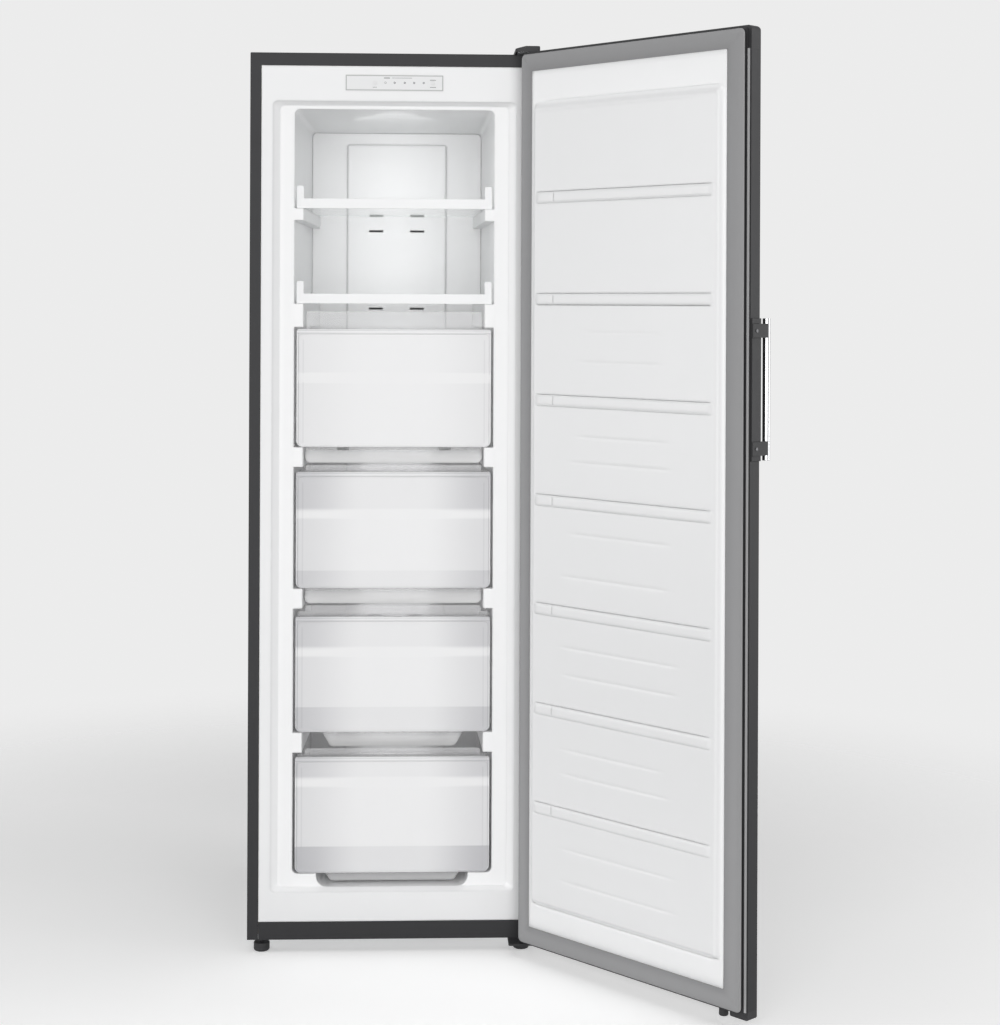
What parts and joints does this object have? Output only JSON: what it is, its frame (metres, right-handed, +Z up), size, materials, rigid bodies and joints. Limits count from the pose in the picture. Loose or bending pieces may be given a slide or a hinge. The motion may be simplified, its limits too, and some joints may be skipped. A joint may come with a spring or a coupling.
{
  "type": "upright freezer",
  "caption": "Tall free-standing freezer with one side-hinged door, glass shelves and pull-out drawers behind a white liner face.",
  "frame": {"origin": "centre of the cabinet's underside, above the feet", "axes": "+Z up, +Y from the door side to the rear, +X to the right seen from the front"},
  "size_m": [1.001, 1.0816, 1.8675],
  "materials": {
    "dark_paint": "satin dark grey paint",
    "dark_plastic": "dark grey moulded plastic",
    "white_plastic": "glossy white moulded plastic",
    "frosted_plastic": "frosted clear moulded plastic",
    "shelf_glass": "toughened clear glass",
    "grey_rubber": "soft grey magnetic seal",
    "black_rubber": "black rubber",
    "chrome": "polished metal",
    "zinc_steel": "zinc plated sheet steel",
    "aluminium": "mill finish aluminium",
    "black_enamel": "black enamel",
    "copper": "bright copper",
    "foam": "rigid foam",
    "nylon": "natural nylon",
    "circuit": "circuit board"
  },
  "bodies": {
    "cabinet": {"outer_shell": "dark_paint", "front_rail": "dark_paint", "base_plate": "zinc_steel", "rear_panel": "zinc_steel", "compressor_tray": "zinc_steel", "bay_cover": "zinc_steel", "cabinet_foam": "foam", "inner_liner": "white_plastic", "evaporator_cover": "white_plastic", "control_panel": "white_plastic", "control_board": "circuit", "condenser": "black_enamel", "evaporator": "aluminium", "defrost_heater": "aluminium", "drain_funnel": "nylon", "drain_hose": "nylon", "fan_motor": "black_enamel", "compressor_mounts": "black_rubber", "compressor": "black_enamel", "relay_box": "dark_plastic", "drip_tray": "nylon", "filter_drier": "copper", "cord_gland": "dark_plastic", "roller_brackets": "zinc_steel", "upper_hinge": "zinc_steel", "lower_hinge": "dark_paint", "hinge_screws": "zinc_steel", "hinge_cover": "dark_plastic"},
    "door": {"door_skin": "dark_paint", "door_top_cap": "dark_plastic", "door_bottom_cap": "dark_plastic", "door_bushes": "nylon", "door_stop": "dark_plastic", "door_liner": "white_plastic", "door_foam": "foam", "gasket": "grey_rubber", "handle_bar": "chrome", "grip_plate": "dark_plastic", "handle_brackets": "dark_plastic", "handle_screws": "zinc_steel"},
    "fan": {"fan_blade": "dark_plastic"},
    "foot_left": {"foot_left": "dark_plastic"},
    "foot_right": {"foot_right": "dark_plastic"},
    "roller_left": {"roller_left": "nylon"},
    "roller_right": {"roller_right": "nylon"},
    "button_power": {"button_power": "white_plastic"},
    "button_mode": {"button_mode": "white_plastic"},
    "shelf_1": {"shelf_1_glass": "shelf_glass", "shelf_1_trim": "white_plastic"},
    "shelf_2": {"shelf_2_glass": "shelf_glass", "shelf_2_trim": "white_plastic"},
    "drawer_1": {"drawer_1_basket": "frosted_plastic", "drawer_1_front": "frosted_plastic"},
    "drawer_2": {"drawer_2_basket": "frosted_plastic", "drawer_2_front": "frosted_plastic"},
    "drawer_3": {"drawer_3_basket": "frosted_plastic", "drawer_3_front": "frosted_plastic"},
    "drawer_4": {"drawer_4_basket": "frosted_plastic", "drawer_4_front": "frosted_plastic"}
  },
  "joints": [
    {"name": "door_hinge", "type": "hinge", "parent": "cabinet", "child": "door", "pos_m": [0.2835, -0.332, 0], "axis": [0, 0, 1], "range_deg": [-132, 3]},
    {"name": "drawer_1_slide", "type": "slide", "parent": "cabinet", "child": "drawer_1", "axis": [0, -1, 0], "range_m": [0, 0.33]},
    {"name": "drawer_2_slide", "type": "slide", "parent": "cabinet", "child": "drawer_2", "axis": [0, -1, 0], "range_m": [0, 0.33]},
    {"name": "drawer_3_slide", "type": "slide", "parent": "cabinet", "child": "drawer_3", "axis": [0, -1, 0], "range_m": [0, 0.33]},
    {"name": "drawer_4_slide", "type": "slide", "parent": "cabinet", "child": "drawer_4", "axis": [0, -1, 0], "range_m": [0, 0.33]},
    {"name": "shelf_1_slide", "type": "slide", "parent": "cabinet", "child": "shelf_1", "axis": [0, -1, 0], "range_m": [0, 0.33]},
    {"name": "shelf_2_slide", "type": "slide", "parent": "cabinet", "child": "shelf_2", "axis": [0, -1, 0], "range_m": [0, 0.33]},
    {"name": "fan_spin", "type": "hinge", "parent": "cabinet", "child": "fan", "pos_m": [0, 0.16, 1], "axis": [0, 1, 0], "continuous": true},
    {"name": "foot_left_turn", "type": "hinge", "parent": "cabinet", "child": "foot_left", "pos_m": [-0.2685, -0.2795, 0], "axis": [0, 0, 1], "continuous": true},
    {"name": "roller_left_spin", "type": "hinge", "parent": "cabinet", "child": "roller_left", "pos_m": [-0.258, 0.268, -0.015], "axis": [1, 0, 0], "continuous": true},
    {"name": "foot_right_turn", "type": "hinge", "parent": "cabinet", "child": "foot_right", "pos_m": [0.2685, -0.2795, 0], "axis": [0, 0, 1], "continuous": true},
    {"name": "roller_right_spin", "type": "hinge", "parent": "cabinet", "child": "roller_right", "pos_m": [0.258, 0.268, -0.015], "axis": [1, 0, 0], "continuous": true},
    {"name": "button_power_push", "type": "slide", "parent": "cabinet", "child": "button_power", "axis": [0, 1, 0], "range_m": [0, 0.001], "stiffness_N_per_m": 600},
    {"name": "button_mode_push", "type": "slide", "parent": "cabinet", "child": "button_mode", "axis": [0, 1, 0], "range_m": [0, 0.001], "stiffness_N_per_m": 600}
  ]
}
